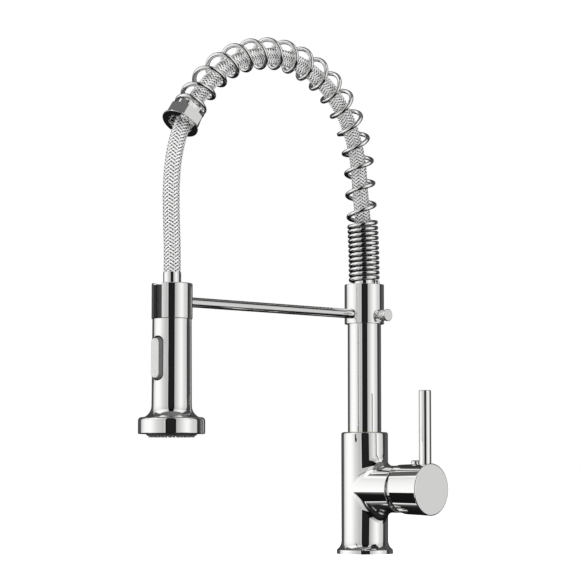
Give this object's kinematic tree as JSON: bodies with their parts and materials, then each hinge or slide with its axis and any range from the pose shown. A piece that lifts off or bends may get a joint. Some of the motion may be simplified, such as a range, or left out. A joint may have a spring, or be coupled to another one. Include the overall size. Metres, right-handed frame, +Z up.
{
  "type": "pull-down kitchen faucet",
  "caption": "Deck-mounted kitchen faucet with an open spring arch around a braided hose, a docked pull-down spray head on a support rod, and a side lever.",
  "frame": {"origin": "centre of the base's bottom face, on the deck", "axes": "+Z up out of the deck, -Y along the spout's reach towards the spray head, +X along the handle's shaft"},
  "size_m": [0.0958, 0.2605, 0.4055],
  "materials": {
    "chrome": "polished",
    "steel": "satin",
    "brass": "machined",
    "braid": "woven stainless wire",
    "rubber": "matt",
    "nozzle_rubber": "matt",
    "ceramic": "lapped ceramic",
    "white_plastic": "moulded",
    "dark_plastic": "moulded",
    "grey_plastic": "fine matt"
  },
  "bodies": {
    "base": {"valve_body": "chrome", "base_gasket": "rubber", "spout_retaining_screw": "steel", "cartridge_housing": "white_plastic", "cartridge_base": "white_plastic", "cartridge_seals": "rubber", "fixed_disc": "ceramic", "bonnet_nut": "brass", "bonnet_dome": "chrome"},
    "spout": {"column_foot": "brass", "column_tube": "chrome", "spout_o_rings": "rubber", "swivel_slide_ring": "white_plastic", "column_head": "chrome", "support_collar": "chrome", "support_rod": "chrome", "dock_sleeve": "chrome", "support_spring": "chrome", "hose_inlet_fitting": "steel", "spray_hose": "braid"},
    "thumb_clamp": {"clamp_pad": "brass"},
    "thumb_knob": {"thumb_screw": "chrome"},
    "mixing_rotor": {"cartridge_rotor": "white_plastic", "stem_pin": "steel"},
    "lever": {"lever_stem": "brass", "handle_hub": "chrome", "lever_rod": "chrome", "handle_set_screw": "steel", "indicator_plug": "chrome"},
    "mixing_disc": {"moving_disc": "ceramic", "disc_carrier": "white_plastic"},
    "hose_end": {"spring_end_nut": "chrome", "hose_connector": "chrome", "swivel_o_ring": "rubber"},
    "spray_head": {"head_shell": "chrome", "neck_guide": "dark_plastic", "face_ring": "chrome", "nozzle_plate": "dark_plastic", "nozzle_membrane": "nozzle_rubber", "aerator_insert": "dark_plastic", "face_spacer": "white_plastic", "water_core": "white_plastic", "check_valve": "white_plastic", "strainer_washer": "rubber", "button_pin": "steel"},
    "button": {"spray_button": "grey_plastic"},
    "diverter": {"diverter_spool": "white_plastic"}
  },
  "joints": [
    {"name": "spout_swivel", "type": "hinge", "parent": "base", "child": "spout", "pos_m": [0, 0, 0.0975], "axis": [0, 0, 1], "continuous": true},
    {"name": "temperature_turn", "type": "hinge", "parent": "base", "child": "mixing_rotor", "pos_m": [0.0269, 0, 0.0518], "axis": [1, 0, 0], "range_deg": [-50, 50]},
    {"name": "lever_lift", "type": "hinge", "parent": "mixing_rotor", "child": "lever", "pos_m": [0.0332, 0, 0.0518], "axis": [0, 1, 0], "range_deg": [0, 22]},
    {"name": "disc_slide", "type": "slide", "parent": "mixing_rotor", "child": "mixing_disc", "axis": [0, 0, 1], "range_m": [0, 0.0029]},
    {"name": "clamp_travel", "type": "slide", "parent": "spout", "child": "thumb_clamp", "axis": [1, 0, 0], "range_m": [0, 0.00165]},
    {"name": "thumb_turn", "type": "hinge", "parent": "thumb_clamp", "child": "thumb_knob", "pos_m": [0.0227, 0, 0.1912], "axis": [1, 0, 0], "range_deg": [0, 720]},
    {"name": "spray_pull", "type": "slide", "parent": "spout", "child": "hose_end", "axis": [0, 0, -1], "range_m": [0, 0.1], "deforming": ["support_spring", "spray_hose"]},
    {"name": "spray_swivel", "type": "hinge", "parent": "hose_end", "child": "spray_head", "pos_m": [0, -0.213, 0.19], "axis": [0, 0, 1], "continuous": true},
    {"name": "button_rock", "type": "hinge", "parent": "spray_head", "child": "button", "pos_m": [0, -0.221, 0.1497], "axis": [-1, 0, 0], "range_deg": [0, 6]},
    {"name": "spool_slide", "type": "slide", "parent": "spray_head", "child": "diverter", "axis": [0, 1, 0], "range_m": [0, 0.0011]}
  ],
  "couplings": [
    {"joint": "disc_slide", "follows": "lever_lift", "m_per_rad": 0.0072},
    {"joint": "clamp_travel", "follows": "thumb_turn", "m_per_rad": 0.00012732},
    {"joint": "spool_slide", "follows": "button_rock", "m_per_rad": 0.01}
  ]
}
